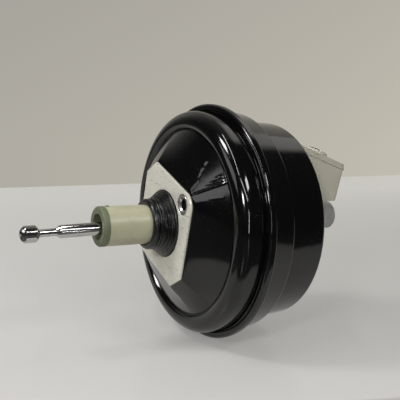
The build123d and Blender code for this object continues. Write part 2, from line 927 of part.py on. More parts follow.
# ---------------------------------------------------------------- master cylinder
def cylinder_flange():
    outline = make_hull(
        [
            e
            for side in (-1, 1)
            for e in (Pos(side * stud_offset, 0) * Circle(11.5)).edges()
        ]
        + list(Circle(cylinder_r + 5.0).edges())
    )
    plane = Plane(origin=(boss_x, 0, 0), z_dir=(1, 0, 0), x_dir=(0, 1, 0))
    return extrude(plane * outline, amount=mount_flange_thick)


def master_cylinder():
    groove_x0 = brace_x + 0.8
    body = turned(
        (spigot_x, 0),
        (spigot_x, spigot_r, 1.0),
        (groove_x0, spigot_r),
        (groove_x0, spigot_r - 2.2),
        (groove_x0 + 3.0, spigot_r - 2.2),
        (groove_x0 + 3.0, spigot_r),
        (boss_x, spigot_r),
        (boss_x, cylinder_r),
        (cylinder_end_x, cylinder_r, cylinder_end_round),
        (cylinder_end_x, 0),
    )
    body += cylinder_flange()
    for x in feed_x:
        body += post(x, 0, 0, feed_boss_top, feed_boss_r)
    for x in outlet_x:
        body += cross_bar(x, 0, 0, outlet_reach, outlet_boss_r)
    body += block(lug_x - 4, lug_x + 4, -5, 5, cylinder_r - 4, lug_pin_z + 2.6)
    body -= tube(spigot_x - 1, cylinder_bore_end_x, cylinder_bore_r)
    body -= tube(circlip_x, circlip_x + circlip_thick, cylinder_bore_r + 1.0)
    for x in feed_x:
        body -= post(x, 0, feed_bore_floor, feed_boss_top + 1, feed_bore_r)
        body -= post(x, 0, 0, feed_bore_floor + 1, drilling_r)
    for x in outlet_x:
        body -= cross_bar(x, 0, outlet_reach - outlet_depth, outlet_reach + 1, outlet_thread_r)
        body -= cross_bar(x, 0, 0, outlet_reach, drilling_r)
    for side in (-1, 1):
        body -= tube(boss_x - 1, flange_front_x + 1, stud_r + 0.4, 0, side * stud_offset, 0)
    body -= cross_bar(lug_x, lug_pin_z, -6, 6, lug_pin_r + seat_gap)
    return body


def cylinder_o_ring():
    middle_x = brace_x + 0.8 + 1.5
    section_r = 1.4
    plane = Plane(origin=(middle_x, 0, 0), z_dir=(1, 0, 0))
    return plane * Torus(spigot_r - 2.2 + section_r + seat_gap, section_r)


def circlip():
    outer = cylinder_bore_r + 1.0 - seat_gap
    ring = tube(circlip_x + 0.1, circlip_x + circlip_thick - 0.1, outer, cylinder_bore_r - 1.0)
    ring -= block(circlip_x - 1, circlip_x + 3, -2.5, 2.5, -outer - 1, 0)
    return ring


def primary_piston():
    slide_r = cylinder_bore_r - run_gap
    step_at = circlip_x + circlip_thick + 0.3
    cup_x = primary_front_x - 7.0
    return turned(
        (piston_tail_x, rod_tip_r + 0.5),
        (piston_tail_x, cylinder_bore_r - 1.4, 0.6),
        (step_at, cylinder_bore_r - 1.4),
        (step_at, slide_r),
        (cup_x, slide_r),
        (cup_x, slide_r - cup_depth),
        (cup_x + cup_width, slide_r - cup_depth),
        (cup_x + cup_width, slide_r),
        (primary_front_x, slide_r, 0.5),
        (primary_front_x, piston_recess_r),
        (primary_front_x - piston_recess_depth, piston_recess_r),
        (primary_front_x - piston_recess_depth, 0),
        (rod_tip_x + rest_gap, 0),
        (rod_tip_x + rest_gap, rod_tip_r + 0.5),
    )


def cup_ring(x):
    slide_r = cylinder_bore_r - run_gap
    inner = slide_r - cup_depth + 0.02
    return tube(x + 0.05, x + cup_width - 0.05, slide_r, inner)


def primary_cup():
    return cup_ring(primary_front_x - 7.0)


def secondary_piston():
    slide_r = cylinder_bore_r - run_gap
    rear, front = secondary_rear_x, secondary_front_x
    neck = slide_r - cup_depth
    return turned(
        (rear, piston_recess_r),
        (rear, slide_r, 0.5),
        (rear + 3, slide_r),
        (rear + 3, neck),
        (rear + 3 + cup_width, neck),
        (rear + 3 + cup_width, slide_r),
        (front - 6, slide_r),
        (front - 6, neck),
        (front - 6 + cup_width, neck),
        (front - 6 + cup_width, slide_r),
        (front, slide_r, 0.5),
        (front, piston_recess_r),
        (front - piston_recess_depth, piston_recess_r),
        (front - piston_recess_depth, 0),
        (rear + piston_recess_depth, 0),
        (rear + piston_recess_depth, piston_recess_r),
    )


def secondary_cups():
    cups = [cup_ring(secondary_rear_x + 3), cup_ring(secondary_front_x - 6)]
    return Compound(children=cups)


def primary_spring():
    x0 = primary_front_x - piston_recess_depth
    x1 = secondary_rear_x + piston_recess_depth
    return coil(x0 + 0.1, x1 - 0.1, piston_coil_r, piston_coil_r, piston_wire_r, 6.0)


def secondary_spring():
    x0 = secondary_front_x - piston_recess_depth
    return coil(x0 + 0.1, cylinder_bore_end_x - 0.1, piston_coil_r, piston_coil_r,
                piston_wire_r, 4.5)


# ---------------------------------------------------------------- reservoir
def lid_z(x):
    """Height of the lid's outer face at station x."""
    return tank_rear_top_z - (x - tank_rear_x) * math.tan(tank_slope_rad)


def tank_outline(inset, drop_top):
    """Side outline of the tank, inset from its outer faces, cut drop_top below the lid."""
    lean = math.tan(math.radians(tank_front_lean))
    fall = math.tan(tank_slope_rad)
    low_z = tank_floor_z + inset
    rear = tank_rear_x + inset
    front_low = tank_front_low_x - inset / math.cos(math.atan(lean)) + lean * inset
    drop = drop_top / math.cos(tank_slope_rad)
    top_rear = lid_z(rear) - drop
    base_z = lid_z(front_low) - drop
    rise = (base_z - low_z) / (1 + fall * lean)
    front_top = (front_low + lean * rise, low_z + rise)
    return [(rear, low_z), (front_low, low_z), front_top, (rear, top_rear)]


def tank_form(inset, drop_top, half_width, corner_r):
    points = tank_outline(inset, drop_top)
    plane = Plane(origin=(0, -half_width, 0), z_dir=(0, -1, 0), x_dir=(1, 0, 0))
    outline = make_face(Polyline(*points, close=True))
    form = extrude(plane * outline, amount=-2 * half_width)
    uprights = [
        e
        for e in form.edges()
        if abs(e.center().Y) > half_width - 0.01
        or abs(abs(e.center().Y) - half_width) < 0.01
    ]
    ends = [
        e
        for e in uprights
        if abs((e @ 1).Z - (e @ 0).Z) > abs((e @ 1).X - (e @ 0).X)
    ]
    return fillet(ends, corner_r)


def seam_plane(x, height=0.0):
    """Plane parallel to the lid, at station x and a height above its outer face."""
    normal = (math.sin(tank_slope_rad), 0, math.cos(tank_slope_rad))
    along = (math.cos(tank_slope_rad), 0, -math.sin(tank_slope_rad))
    origin = (
        x + height * normal[0],
        0,
        lid_z(x) + height * normal[2],
    )
    return Plane(origin=origin, x_dir=along, z_dir=normal)


def seam_slice(bottom, top):
    """Slab of the tank's outline, grown by the seam, between two depths below the lid."""
    grown = tank_form(-seam_width, 0, tank_half_width + seam_width, tank_corner_r + seam_width)
    keep = Pos(0, 0, 0) * seam_plane(filler_x, -(bottom + top) / 2).location
    slab = keep * Box(6 * tank_half_width, 4 * tank_half_width, bottom - top)
    return grown & slab


def reservoir_lower():
    outer = tank_form(0, lid_height, tank_half_width, tank_corner_r)
    inner = tank_form(tank_wall, lid_height - 3, tank_half_width - tank_wall,
                      tank_corner_r - tank_wall)
    tank = outer - inner
    tank += seam_slice(lid_height + seam_thick, lid_height) - inner
    for x in feed_x:
        tank += post(x, 0, feed_bore_floor + 2, tank_floor_z + 1, outlet_pipe_r)
        tank -= post(x, 0, feed_bore_floor + 1, tank_floor_z + 5, outlet_pipe_bore_r)
    for side in (-1, 1):
        y0, y1 = sorted((side * 5.4, side * 8.4))
        tank += block(lug_x - 4, lug_x + 4, y0, y1, lug_pin_z - 3.6, tank_floor_z + 0.5)
    tank -= cross_bar(lug_x, lug_pin_z, -12, 12, lug_pin_r + seat_gap)
    floor = tank_floor_z + tank_wall
    post_top = floor + float_height + float_travel + 6
    tank += post(float_x, float_y, floor - 0.5, post_top, float_post_r)
    tank -= post(float_x, float_y, tank_floor_z - 1, post_top - 2, 2.8)
    wall_x = (feed_x[0] + feed_x[1]) / 2
    baffle = block(wall_x - 1, wall_x + 1, -tank_half_width + 1, 10, floor - 0.5, floor + 22)
    return tank + (baffle & tank_form(0.5, lid_height, tank_half_width - 0.5, tank_corner_r))


def reservoir_upper():
    outer = tank_form(0, 0, tank_half_width, tank_corner_r)
    reach = 6 * tank_half_width
    above = seam_plane(filler_x, -lid_height).location * Pos(0, 0, reach / 2) * Box(reach, reach, reach)
    lid = outer & above
    inner = tank_form(tank_wall, tank_wall, tank_half_width - tank_wall,
                      tank_corner_r - tank_wall)
    lid -= inner
    lid += seam_slice(lid_height, lid_height - seam_thick) - inner
    plane = seam_plane(filler_x).offset(-tank_wall / 2)
    centre = Pos(0, filler_y, 0)
    lid += extrude(plane * centre * Circle(neck_pipe_r), amount=neck_pipe_height + tank_wall / 2)
    lid -= extrude(
        plane.offset(-tank_wall) * centre * Circle(neck_pipe_r - neck_pipe_wall),
        amount=neck_pipe_height + 3 * tank_wall,
    )
    return lid


def cap_plane():
    return seam_plane(filler_x) * Pos(0, filler_y, 0)


def filler_cap_seal():
    place = seam_plane(filler_x).offset(neck_pipe_height + rest_gap / 3).location
    ring = Cylinder(neck_pipe_r - 0.3, 1.4, align=(Align.CENTER, Align.CENTER, Align.MIN))
    ring -= Cylinder(neck_pipe_r - neck_pipe_wall - 1, 1.4,
                     align=(Align.CENTER, Align.CENTER, Align.MIN))
    return place * Pos(0, filler_y, 0) * ring


def filler_cap():
    base = Align.CENTER, Align.CENTER, Align.MIN
    skirt_r = neck_pipe_r + 0.4 + cap_wall
    depth = neck_pipe_height - 0.6
    seal_top = neck_pipe_height + rest_gap / 3 + 1.4 + 0.15
    top = seal_top + cap_wall
    cap = Pos(0, 0, neck_pipe_height - depth) * Cylinder(skirt_r, top - 0.6, align=base)
    cap = fillet(cap.edges().group_by(Axis.Z)[-1], 1.2)
    cap -= Cylinder(neck_pipe_r + 0.4, seal_top, align=base)
    knob = Pos(0, 0, top - 0.5) * Cylinder(cap_knob_r, cap_knob_height + 0.5, align=base)
    knob = fillet(knob.edges().group_by(Axis.Z)[-1], 1.2)
    grips = 12
    for index in range(grips):
        notch = Rot(0, 0, 360 / grips * index) * Pos(skirt_r + 0.6, 0, 0)
        cap -= notch * Cylinder(1.3, 30)
    return seam_plane(filler_x).location * Pos(0, filler_y, 0) * (cap + knob)


def reservoir_grommets():
    pair = []
    for x in feed_x:
        body = post(x, 0, feed_bore_floor + 0.3, feed_boss_top + 0.5, feed_bore_r - seat_gap)
        body += post(x, 0, feed_boss_top + 0.05, tank_floor_z - 0.2, feed_boss_r - 0.6)
        body -= post(x, 0, 0, tank_floor_z + 1, outlet_pipe_r + seat_gap)
        pair.append(body)
    return Compound(children=pair)


def reservoir_pin():
    return cross_bar(lug_x, lug_pin_z, -10.5, 10.5, lug_pin_r)


def level_float():
    low = tank_floor_z + tank_wall + rest_gap
    return post(float_x, float_y, low, low + float_height, float_r, float_post_r + 0.4)


def level_sensor():
    top = tank_floor_z + tank_wall + float_height + float_travel
    stem = post(float_x, float_y, tank_floor_z - 1, top, 2.8 - seat_gap)
    plug = block(float_x - 8, float_x + 8, float_y - 6.5, float_y + 6.5, 10.5, tank_floor_z - 0.05)
    plug = fillet(plug.edges().filter_by(Axis.Z), 2.0)
    socket = block(float_x - 6, float_x + 6, float_y - 4.5, float_y + 4.5, 5.0, 17.0)
    shroud = block(float_x - 7, float_x + 7, float_y - 5.5, float_y + 5.5, 5.0, 12.0)
    return stem + plug + shroud - socket


# ---------------------------------------------------------------- check valve
def vacuum_grommet():
    inner_x = face_x - front_sheet
    hole_r = valve_tube_r + 2.0 - seat_gap
    ring = turned(
        (inner_x - 3.0, valve_tube_r + seat_gap),
        (inner_x - 3.0, hole_r + 1.2, 1.0),
        (inner_x - 0.05, hole_r + 2.2, 0.6),
        (inner_x - 0.05, hole_r),
        (face_x + 0.05, hole_r),
        (face_x + 0.05, hole_r + 2.2, 0.6),
        (face_x + 2.6, hole_r + 1.5, 1.0),
        (face_x + 2.6, valve_tube_r + seat_gap),
    )
    return Pos(0, valve_y, valve_z) * ring


def check_valve_body():
    cup_x = face_x + 2.7
    body = turned(
        (face_x - 9.0, valve_bore_r),
        (face_x - 9.0, valve_tube_r, 1.0),
        (cup_x, valve_tube_r),
        (cup_x, valve_cup_r, 1.0),
        (cup_x + 11.0, valve_cup_r),
        (cup_x + 11.0, valve_chamber_r),
        (cup_x + 2.6, valve_chamber_r),
        (cup_x + 2.6, valve_bore_r + 2.0),
        (cup_x + 3.2, valve_bore_r + 1.2),
        (cup_x + 3.2, valve_bore_r),
    )
    return Pos(0, valve_y, valve_z) * body


def check_valve_disc():
    x0 = face_x + 2.7 + 3.3
    disc = turned(
        (x0, 0),
        (x0, valve_disc_r, 0.4),
        (x0 + valve_disc_thick, valve_disc_r, 0.4),
        (x0 + valve_disc_thick, 0),
    )
    return Pos(0, valve_y, valve_z) * disc


def check_valve_spring():
    x0 = face_x + 6.0 + valve_disc_thick
    x1 = face_x + 2.7 + 11.0
    return coil(x0 + 0.1, x1 - 0.1, valve_coil_r, valve_coil_r, valve_wire_r, 2.5,
                valve_y, valve_z)


def check_valve_elbow():
    x0 = face_x + 2.7 + 11.0 + 0.02
    pipe_x = x0 + 8.5
    dome = turned(
        (x0, 0),
        (x0, valve_cup_r, 0.5),
        (x0 + 2.5, valve_cup_r, 1.0),
        (x0 + 6.0, 8.0, 2.0),
        (x0 + 15.5, 8.0, 5.0),
        (x0 + 15.5, 0),
    )
    dome = Pos(0, valve_y, valve_z) * dome
    top_z = valve_z + hose_spigot_length
    collar_z = valve_z + hose_collar_z
    collar_top = collar_z + hose_collar_height
    elbow = dome + post(pipe_x, valve_y, valve_z, collar_z + 1, hose_spigot_r + 0.6)
    elbow += post(pipe_x, valve_y, collar_z, collar_top, hose_spigot_r + 2.0)
    elbow += post(pipe_x, valve_y, collar_z, top_z - 1, hose_spigot_r - 0.5)
    elbow += post(pipe_x, valve_y, collar_top + hose_relief, top_z, hose_spigot_r)
    elbow -= tube(x0 - 1, pipe_x, valve_bore_r - 0.4, 0, valve_y, valve_z)
    elbow -= post(pipe_x, valve_y, valve_z, top_z + 1, valve_bore_r - 0.4)
    return elbow


# ---------------------------------------------------------------- write the parts
NODES = [
    rear_shell, mounting_plate, plate_bushes, dust_boot, guide_bush, hub_seal,
    rear_diaphragm, rear_diaphragm_plate, centre_plate, centre_seal,
    front_diaphragm, front_diaphragm_plate, front_shell, front_brace,
    cylinder_studs, cylinder_nuts, main_return_spring,
    valve_body, stop_key, plate_retainer, sleeve_end_ring, air_filter,
    poppet_valve, poppet_retainer, poppet_spring, reaction_disc, output_rod,
    rod_return_spring, valve_plunger, push_rod,
    master_cylinder, cylinder_o_ring, circlip, primary_piston, primary_cup,
    secondary_piston, secondary_cups, primary_spring, secondary_spring,
    reservoir_lower, reservoir_upper, filler_cap_seal, filler_cap,
    reservoir_grommets, reservoir_pin, level_float, level_sensor,
    vacuum_grommet, check_valve_body, check_valve_disc, check_valve_spring,
    check_valve_elbow,
]

for make in NODES:
    export_step(make(), f"parts/{make.__name__}.step")
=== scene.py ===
"""Tandem brake booster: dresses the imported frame, lights it and sets the camera."""

import json
import math

import bmesh
import bpy
from mathutils import Matrix, Vector


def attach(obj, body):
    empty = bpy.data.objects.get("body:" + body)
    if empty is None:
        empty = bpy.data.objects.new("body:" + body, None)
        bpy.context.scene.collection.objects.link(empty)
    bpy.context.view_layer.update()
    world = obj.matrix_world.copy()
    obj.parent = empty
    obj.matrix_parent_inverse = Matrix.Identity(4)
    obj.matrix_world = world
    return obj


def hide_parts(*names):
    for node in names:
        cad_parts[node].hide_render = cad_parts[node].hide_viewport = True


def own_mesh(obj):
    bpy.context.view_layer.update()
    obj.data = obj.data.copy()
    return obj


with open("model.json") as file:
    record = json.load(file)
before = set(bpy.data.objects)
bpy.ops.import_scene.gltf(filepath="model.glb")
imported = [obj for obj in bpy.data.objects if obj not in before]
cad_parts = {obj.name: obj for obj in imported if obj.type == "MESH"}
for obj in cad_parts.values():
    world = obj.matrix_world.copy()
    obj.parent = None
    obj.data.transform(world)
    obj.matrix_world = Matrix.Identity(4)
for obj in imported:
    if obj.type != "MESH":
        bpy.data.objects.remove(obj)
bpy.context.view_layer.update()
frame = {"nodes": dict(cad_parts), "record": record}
MM = 0.001


# ------------------------------------------------------------------ finishes
class Finish:
    """One procedural material, built node by node on Object coordinates."""

    def __init__(self, name, color, roughness, metallic=0.0, **sockets):
        self.material = bpy.data.materials.new(name)
        self.material.use_nodes = True
        self.tree = self.material.node_tree
        self.shader = self.tree.nodes["Principled BSDF"]
        self.place = self.node("ShaderNodeTexCoord").outputs["Object"]
        self.shader.inputs["Base Color"].default_value = (*color, 1.0)
        self.shader.inputs["Roughness"].default_value = roughness
        self.shader.inputs["Metallic"].default_value = metallic
        for socket, value in sockets.items():
            self.shader.inputs[socket.replace("_", " ")].default_value = value
        self.color = None
        self.height = None

    def node(self, kind, **settings):
        made = self.tree.nodes.new(kind)
        for key, value in settings.items():
            setattr(made, key, value)
        return made

    def link(self, source, target):
        self.tree.links.new(source, target)

    def stretched(self, scale, turn=(0, 0, 0)):
        """Object coordinates scaled by axis, to draw grain out along one of them."""
        mapping = self.node("ShaderNodeMapping")
        mapping.inputs["Scale"].default_value = scale
        mapping.inputs["Rotation"].default_value = turn
        self.link(self.place, mapping.inputs["Vector"])
        return mapping.outputs["Vector"]

    def noise(self, scale, detail=4.0, rough=0.55, place=None, warp=0.0):
        texture = self.node("ShaderNodeTexNoise")
        texture.inputs["Scale"].default_value = scale
        texture.inputs["Detail"].default_value = detail
        texture.inputs["Roughness"].default_value = rough
        texture.inputs["Distortion"].default_value = warp
        self.link(place or self.place, texture.inputs["Vector"])
        return texture.outputs["Fac"]

    def specks(self, scale, jitter=1.0, place=None):
        texture = self.node("ShaderNodeTexVoronoi")
        texture.inputs["Scale"].default_value = scale
        texture.inputs["Randomness"].default_value = jitter
        self.link(place or self.place, texture.inputs["Vector"])
        return texture.outputs["Distance"]

    def ramp(self, source, low, high, bottom=0.0, top=1.0):
        """Maps low..high of a value to bottom..top, clamped."""
        span = self.node("ShaderNodeMapRange", clamp=True)
        for key, value in zip(("From Min", "From Max", "To Min", "To Max"),
                              (low, high, bottom, top)):
            span.inputs[key].default_value = value
        self.link(source, span.inputs["Value"])
        return span.outputs["Result"]

    def both(self, first, second, operation="MULTIPLY"):
        math_node = self.node("ShaderNodeMath", operation=operation)
        self.link(first, math_node.inputs[0])
        if hasattr(second, "is_linked"):
            self.link(second, math_node.inputs[1])
        else:
            math_node.inputs[1].default_value = second
        return math_node.outputs["Value"]

    def blend(self, amount, under, over):
        """Goes from one colour to another by a 0..1 amount; each is a triple or a socket."""
        mix = self.node("ShaderNodeMix", data_type="RGBA")
        for color, socket in ((under, mix.inputs[6]), (over, mix.inputs[7])):
            if hasattr(color, "is_linked"):
                self.link(color, socket)
            else:
                socket.default_value = (*color, 1.0)
        self.link(amount, mix.inputs[0])
        return mix.outputs[2]

    def tint(self, amount, color):
        """Lays a colour over the base by a 0..1 amount."""
        under = self.color
        if under is None:
            under = self.shader.inputs["Base Color"].default_value[:3]
        self.color = self.blend(amount, under, color)
        self.link(self.color, self.shader.inputs["Base Color"])

    def gloss(self, source, low, high, bottom, top):
        self.link(self.ramp(source, low, high, bottom, top), self.shader.inputs["Roughness"])

    def relief(self, source, depth, strength=1.0):
        """Adds a bump layer, depth in millimetres."""
        bump = self.node("ShaderNodeBump")
        bump.inputs["Strength"].default_value = strength
        bump.inputs["Distance"].default_value = depth * MM
        self.link(source, bump.inputs["Height"])
        if self.height is not None:
            self.link(self.height, bump.inputs["Normal"])
        self.height = bump.outputs["Normal"]
        self.link(self.height, self.shader.inputs["Normal"])

    def along(self, axis):
        """The piece's own coordinate along one axis."""
        split = self.node("ShaderNodeSeparateXYZ")
        self.link(self.place, split.inputs["Vector"])
        return split.outputs[axis]


def black_enamel():
    f = Finish("black_enamel", (0.0018, 0.0018, 0.0019), 0.13)
    cloud = f.noise(28.0, 5.0, 0.6)
    f.gloss(cloud, 0.35, 0.75, 0.06, 0.14)
    dust = f.both(f.ramp(f.noise(900.0, 2.0), 0.69, 0.74), f.ramp(cloud, 0.45, 0.65))
    f.tint(dust, (0.10, 0.10, 0.098))
    f.relief(f.noise(55.0, 2.0, 0.4), 0.25, 0.25)
    return f.material


def plate_metal():
    f = Finish("plate_metal", (0.76, 0.745, 0.65), 0.42, 0.3)
    patch = f.noise(30.0, 6.0, 0.65)
    f.tint(f.ramp(patch, 0.4, 0.7), (0.66, 0.64, 0.55))
    scratch = f.noise(60.0, 3.0, 0.5, f.stretched((1.0, 1.0, 14.0), (0.4, 0, 0)))
    f.tint(f.ramp(scratch, 0.63, 0.68), (0.30, 0.28, 0.25))
    f.gloss(patch, 0.3, 0.7, 0.36, 0.52)
    f.relief(scratch, 0.05, 0.4)
    return f.material


def zinc_steel():
    f = Finish("zinc_steel", (0.55, 0.54, 0.52), 0.26, 0.95)
    lines = f.noise(40.0, 3.0, 0.5, f.stretched((40.0, 1.0, 1.0)))
    f.gloss(lines, 0.35, 0.7, 0.2, 0.36)
    f.tint(f.ramp(f.noise(120.0), 0.6, 0.75), (0.36, 0.34, 0.31))
    f.relief(lines, 0.02, 0.3)
    return f.material


def rod_steel():
    f = Finish("rod_steel", (0.50, 0.495, 0.48), 0.14, 1.0)
    cloud = f.noise(90.0, 4.0, 0.55)
    f.gloss(cloud, 0.35, 0.7, 0.09, 0.17)
    f.tint(f.ramp(cloud, 0.55, 0.72), (0.36, 0.35, 0.33))
    return f.material


def spring_wire():
    f = Finish("spring_wire", (0.16, 0.16, 0.17), 0.32, 0.9)
    f.gloss(f.noise(400.0), 0.4, 0.7, 0.26, 0.42)
    return f.material


def black_rubber():
    f = Finish("black_rubber", (0.004, 0.004, 0.0042), 0.28)
    bloom = f.noise(60.0, 5.0, 0.65)
    f.tint(f.ramp(bloom, 0.5, 0.75), (0.010, 0.010, 0.0097))
    f.gloss(bloom, 0.35, 0.7, 0.20, 0.33)
    f.relief(f.noise(1400.0, 2.0), 0.04, 0.3)
    return f.material


def ivory_nylon():
    f = Finish("ivory_nylon", (0.405, 0.39, 0.27), 0.38, Subsurface_Weight=0.12,
               Subsurface_Radius=(0.004, 0.003, 0.0015))
    smudge = f.noise(45.0, 5.0, 0.6)
    f.tint(f.ramp(smudge, 0.5, 0.75), (0.33, 0.305, 0.21))
    f.gloss(smudge, 0.35, 0.7, 0.30, 0.46)
    f.relief(f.noise(300.0, 2.0, 0.5, f.stretched((0.15, 1.0, 1.0))), 0.03, 0.3)
    return f.material


def olive_nylon():
    f = Finish("olive_nylon", (0.13, 0.147, 0.084), 0.5)
    grain = f.noise(700.0, 3.0)
    f.tint(f.ramp(grain, 0.4, 0.7), (0.098, 0.11, 0.064))
    f.gloss(grain, 0.3, 0.7, 0.42, 0.6)
    f.relief(grain, 0.04, 0.4)
    return f.material


def filter_foam():
    f = Finish("filter_foam", (0.03, 0.03, 0.03), 0.9)
    cells = f.specks(1300.0)
    f.tint(f.ramp(cells, 0.2, 0.6), (0.09, 0.09, 0.09))
    f.relief(cells, 0.5, 1.0)
    return f.material


def turned_alloy():
    f = Finish("turned_alloy", (0.55, 0.56, 0.58), 0.3, 0.9)
    lines = f.noise(60.0, 2.0, 0.5, f.stretched((30.0, 1.0, 1.0)))
    f.gloss(lines, 0.3, 0.7, 0.22, 0.4)
    f.relief(lines, 0.02, 0.4)
    return f.material


def cast_alloy():
    f = Finish("cast_alloy", (0.36, 0.355, 0.34), 0.52, 0.4)
    skin = f.noise(160.0, 6.0, 0.7)
    f.tint(f.ramp(skin, 0.42, 0.66), (0.46, 0.455, 0.44))
    f.tint(f.ramp(f.noise(40.0, 4.0), 0.55, 0.75), (0.22, 0.22, 0.215))
    f.gloss(skin, 0.35, 0.7, 0.42, 0.62)
    f.relief(skin, 0.25, 0.6)
    return f.material


def tank_plastic():
    f = Finish("tank_plastic", (0.47, 0.45, 0.37), 0.4, Subsurface_Weight=0.3,
               Subsurface_Radius=(0.01, 0.009, 0.007))
    haze = f.noise(26.0, 4.0, 0.6)
    f.tint(f.ramp(haze, 0.4, 0.75), (0.42, 0.405, 0.32))
    f.gloss(haze, 0.3, 0.7, 0.34, 0.5)
    f.relief(f.noise(240.0, 2.0), 0.05, 0.25)
    return f.material


def black_plastic():
    f = Finish("black_plastic", (0.014, 0.014, 0.015), 0.42)
    grain = f.noise(900.0, 3.0)
    f.gloss(grain, 0.3, 0.7, 0.36, 0.5)
    f.relief(grain, 0.04, 0.35)
    return f.material


def pressed_steel():
    f = Finish("pressed_steel", (0.42, 0.41, 0.39), 0.4, 0.85)
    patch = f.noise(50.0, 5.0, 0.6)
    f.tint(f.ramp(patch, 0.45, 0.7), (0.30, 0.29, 0.27))
    f.gloss(patch, 0.3, 0.7, 0.32, 0.5)
    return f.material


FINISHES = {
    "black_shell": black_enamel(),
    "plate_metal": plate_metal(),
    "plated_steel": zinc_steel(),
    "spring_steel": spring_wire(),
    "black_rubber": black_rubber(),
    "ivory_plastic": ivory_nylon(),
    "olive_plastic": olive_nylon(),
    "filter_foam": filter_foam(),
    "turned_alloy": turned_alloy(),
    "cast_alloy": cast_alloy(),
    "tank_plastic": tank_plastic(),
    "black_plastic": black_plastic(),
    "pressed_steel": pressed_steel(),
    "rod_steel": rod_steel(),
}

SLOT_OF = {part["node"]: part["material_slot"] for part in frame["record"]["subparts"]}


def dress(piece, slot, finish=None):
    piece.data.materials.clear()
    piece.data.materials.append(FINISHES[finish or slot])


for node, piece in frame["nodes"].items():
    dress(piece, SLOT_OF[node])


# ------------------------------------------------------------------ modelling helpers
def settle(name, bm, slot, body, *nodes, sharp=32.0, finish=None):
    """Turns a bmesh drawn in millimetres into a dressed piece that stands for its CAD nodes."""
    bmesh.ops.scale(bm, vec=(MM, MM, MM), verts=bm.verts)
    bmesh.ops.remove_doubles(bm, verts=bm.verts, dist=2e-6)
    bmesh.ops.delete(bm, geom=[e for e in bm.edges if e.is_wire], context="EDGES")
    bmesh.ops.recalc_face_normals(bm, faces=bm.faces)
    for face in bm.faces:
        face.smooth = True
    for edge in bm.edges:
        edge.smooth = edge.is_manifold and edge.calc_face_angle(0.0) < math.radians(sharp)
    mesh = bpy.data.meshes.new(name)
    bm.to_mesh(mesh)
    bm.free()
    piece = bpy.data.objects.new(name, mesh)
    bpy.context.scene.collection.objects.link(piece)
    dress(piece, slot, finish)
    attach(piece, body)
    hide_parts(*nodes)
    return piece


def outline(bm, corners):
    """Closed outline in the XZ plane; each corner is (x, r) or (x, r, rounding)."""
    points = [Vector((c[0], 0.0, c[1])) for c in corners]
    count = len(points)
    dots = [bm.verts.new(p) for p in points]
    for i, dot in enumerate(dots):
        bm.edges.new((dot, dots[(i + 1) % count]))
    for i, corner in enumerate(corners):
        if len(corner) < 3:
            continue
        before, here, after = points[i - 1], points[i], points[(i + 1) % count]
        opening = (before - here).angle(after - here)
        bmesh.ops.bevel(
            bm,
            geom=[dots[i]],
            offset=corner[2] / math.tan(opening / 2),
            offset_type="OFFSET",
            segments=max(3, min(10, round(corner[2] * 2.5))),
            profile=0.5,
            affect="VERTICES",
            material=-1,
        )


def lathe(corners, steps=256, centre=(0.0, 0.0)):
    """Turns a closed outline about an axis parallel to X."""
    bm = bmesh.new()
    outline(bm, corners)
    bmesh.ops.spin(
        bm,
        geom=bm.verts[:] + bm.edges[:],
        cent=(0, 0, 0),
        axis=(1, 0, 0),
        angle=2 * math.pi,
        steps=steps,
        use_merge=True,
        use_duplicate=False,
    )
    bmesh.ops.translate(bm, verts=bm.verts, vec=(0, *centre))
    return bm


def refined(node, name, slot, body, round_mm, segments=3, sharp=35.0, finish=None):
    """Copy of a CAD node with its seams merged and its hard edges rounded off."""
    bm = bmesh.new()
    bm.from_mesh(frame["nodes"][node].data)
    bmesh.ops.scale(bm, vec=(1000, 1000, 1000), verts=bm.verts)
    bmesh.ops.remove_doubles(bm, verts=bm.verts, dist=0.002)
    hard = [
        e for e in bm.edges
        if e.is_manifold and e.calc_face_angle(0.0) > math.radians(sharp)
    ]
    bmesh.ops.bevel(
        bm,
        geom=hard,
        offset=round_mm,
        offset_type="OFFSET",
        segments=segments,
        profile=0.5,
        affect="EDGES",
        clamp_overlap=True,
        material=-1,
    )
    return settle(name, bm, slot, body, node, finish=finish)


# ------------------------------------------------------------------ rear shell
LEAN = 28.0            # degrees, long diagonal of the bulkhead plate
CORNER = 53.0          # its rounded corners' centres from the axis
LAND_GROW = 1.6        # how far the shell's diamond land stands out past the plate
LAND_X = 2.5           # the land, level with the back of the plate
BORE_R = 33.0          # hub bore
FAN_R = 108.2          # where the cone's fans end in a circle
CONE_RISE = 24.9
CONE_STEPS = 46
SHEET = 1.6            # sheet thickness
DOME_X, DOME_R, DOME_BEND = 39.0, 116.8, 14.0
STOPS = [78, 20, -20, -78, -102, -160, -200, -258, -282]
SPLITS = [52, 76, 52, 20] * 2

# Draw wrinkles pressed into the corner fans: two ends, half width and height, in mm
WRINKLES = [
    ((-61.5, 40.5), (-90.5, 56.0), 1.10, 1.05),
    ((-72.0, 50.5), (-89.5, 58.8), 0.75, 0.75),
    ((-74.5, 54.0), (-87.5, 62.2), 0.70, 0.62),
    ((-78.0, 59.5), (-85.5, 65.0), 0.70, 0.50),
    ((-55.8, 45.5), (-60.3, 55.6), 0.90, 0.62),
    ((-56.5, 59.8), (-59.8, 79.5), 1.10, 0.75),
    ((-80.0, 38.0), (-94.0, 41.0), 1.20, 0.14),
]


def tilted(y, z):
    lean = math.radians(LEAN)
    return -(y * math.cos(lean) - z * math.sin(lean)), y * math.sin(lean) + z * math.cos(lean)


